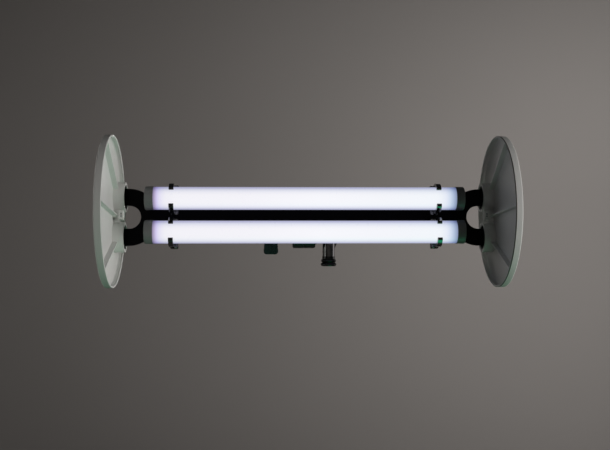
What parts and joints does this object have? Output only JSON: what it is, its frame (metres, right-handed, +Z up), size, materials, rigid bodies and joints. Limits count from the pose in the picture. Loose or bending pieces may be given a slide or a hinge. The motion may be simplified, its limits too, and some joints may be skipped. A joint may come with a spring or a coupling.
{
  "type": "twin led light tube with grip head",
  "caption": "Two glowing light tubes clipped along a black forked spine plate between round pull-off end discs, on a tilting grip head with a stand socket.",
  "frame": {"origin": "centre of the mouth of the stand socket, where the spigot enters from below", "axes": "+X along the light tubes, +Y towards the back of the light, +Z up the socket's axis; the tubes glow mostly towards -Y"},
  "size_m": [0.733, 0.3006, 0.279],
  "materials": {
    "black_plate": "matte black anodised plate",
    "black_plastic": "moulded glossy black plastic",
    "steel": "zinc-plated steel",
    "diffuser": "opal diffusing plastic, lit",
    "cap_plastic": "satin dark grey plastic",
    "carrier": "extruded aluminium",
    "board": "green circuit board",
    "led": "led packages",
    "cell": "shrink-wrapped lithium cells",
    "button_metal": "turned steel",
    "dial_plastic": "black plastic, knurled",
    "disc_plastic": "moulded light grey plastic, fine matte texture",
    "rubber_bush": "black rubber",
    "keeper_plastic": "moulded grey plastic",
    "black_metal": "black painted casting",
    "chrome": "bright chrome",
    "jaw_metal": "cast metal, painted dark",
    "friction_fibre": "friction disc",
    "handle_plastic": "dark green-black plastic",
    "collar_plastic": "glossy black plastic collar"
  },
  "bodies": {
    "stand_socket": {"clamp_bolt": "steel", "thrust_washer": "black_metal", "socket_body": "chrome", "socket_bead_ring": "collar_plastic", "socket_foot_ring": "collar_plastic"},
    "lock_lever": {"lock_screw": "steel", "lock_lever": "handle_plastic"},
    "clamp_handle": {"clamp_handle": "handle_plastic"},
    "tilt_head": {"spine_plate": "black_plate", "clip_upper_left": "black_plastic", "clip_upper_right": "black_plastic", "clip_lower_left": "black_plastic", "clip_lower_right": "black_plastic", "clip_screws": "steel", "stud_flange": "black_metal", "flange_screws": "steel", "mounting_stud": "chrome", "jaw_inner": "jaw_metal", "jaw_outer": "jaw_metal", "jaw_spring": "steel", "friction_disc": "friction_fibre"},
    "tube_upper": {"diffuser_upper": "diffuser", "cap_upper_left": "cap_plastic", "cap_upper_right": "cap_plastic", "heatsink_upper": "carrier", "led_board_upper": "board", "leds_upper": "led", "battery_upper": "cell", "driver_board_upper": "board", "charge_port_upper": "button_metal"},
    "power_button_upper": {"power_button_upper": "button_metal"},
    "dimmer_dial_upper": {"dimmer_dial_upper": "dial_plastic"},
    "tube_lower": {"diffuser_lower": "diffuser", "cap_lower_left": "cap_plastic", "cap_lower_right": "cap_plastic", "heatsink_lower": "carrier", "led_board_lower": "board", "leds_lower": "led", "battery_lower": "cell", "driver_board_lower": "board", "charge_port_lower": "button_metal"},
    "power_button_lower": {"power_button_lower": "button_metal"},
    "dimmer_dial_lower": {"dimmer_dial_lower": "dial_plastic"},
    "disc_left": {"end_disc_left": "disc_plastic", "socket_bushes_left": "rubber_bush", "hub_keeper_left": "keeper_plastic", "hub_screws_left": "steel"},
    "disc_right": {"end_disc_right": "disc_plastic", "socket_bushes_right": "rubber_bush", "hub_keeper_right": "keeper_plastic", "hub_screws_right": "steel"}
  },
  "joints": [
    {"name": "head_tilt", "type": "hinge", "parent": "stand_socket", "child": "tilt_head", "pos_m": [-0.049, 0, 0.0665], "axis": [1, 0, 0], "range_deg": [-60, 40]},
    {"name": "clamp_turn", "type": "hinge", "parent": "stand_socket", "child": "clamp_handle", "pos_m": [-0.049, 0, 0.0665], "axis": [-1, 0, 0], "range_deg": [0, 60]},
    {"name": "lock_turn", "type": "hinge", "parent": "stand_socket", "child": "lock_lever", "pos_m": [0, 0.03, 0.027], "axis": [0, 1, 0], "range_deg": [0, 150]},
    {"name": "tube_roll_upper", "type": "hinge", "parent": "tilt_head", "child": "tube_upper", "pos_m": [-0.049, -0.07369, 0.13139], "axis": [1, 0, 0], "continuous": true},
    {"name": "power_press_upper", "type": "slide", "parent": "tube_upper", "child": "power_button_upper", "axis": [1, 0, 0], "range_m": [0, 0.0008], "stiffness_N_per_m": 500, "springref_m": -0.002},
    {"name": "dimmer_turn_upper", "type": "hinge", "parent": "tube_upper", "child": "dimmer_dial_upper", "pos_m": [-0.35, -0.07466, 0.12445], "axis": [-1, 0, 0], "range_deg": [0, 300]},
    {"name": "tube_roll_lower", "type": "hinge", "parent": "tilt_head", "child": "tube_lower", "pos_m": [-0.049, -0.08259, 0.06801], "axis": [1, 0, 0], "continuous": true},
    {"name": "power_press_lower", "type": "slide", "parent": "tube_lower", "child": "power_button_lower", "axis": [1, 0, 0], "range_m": [0, 0.0008], "stiffness_N_per_m": 500, "springref_m": -0.002},
    {"name": "dimmer_turn_lower", "type": "hinge", "parent": "tube_lower", "child": "dimmer_dial_lower", "pos_m": [-0.35, -0.08357, 0.06108], "axis": [-1, 0, 0], "range_deg": [0, 300]},
    {"name": "disc_pull_left", "type": "slide", "parent": "tilt_head", "child": "disc_left", "axis": [-1, 0, 0], "range_m": [0, 0.03]},
    {"name": "disc_pull_right", "type": "slide", "parent": "tilt_head", "child": "disc_right", "axis": [1, 0, 0], "range_m": [0, 0.03]}
  ]
}
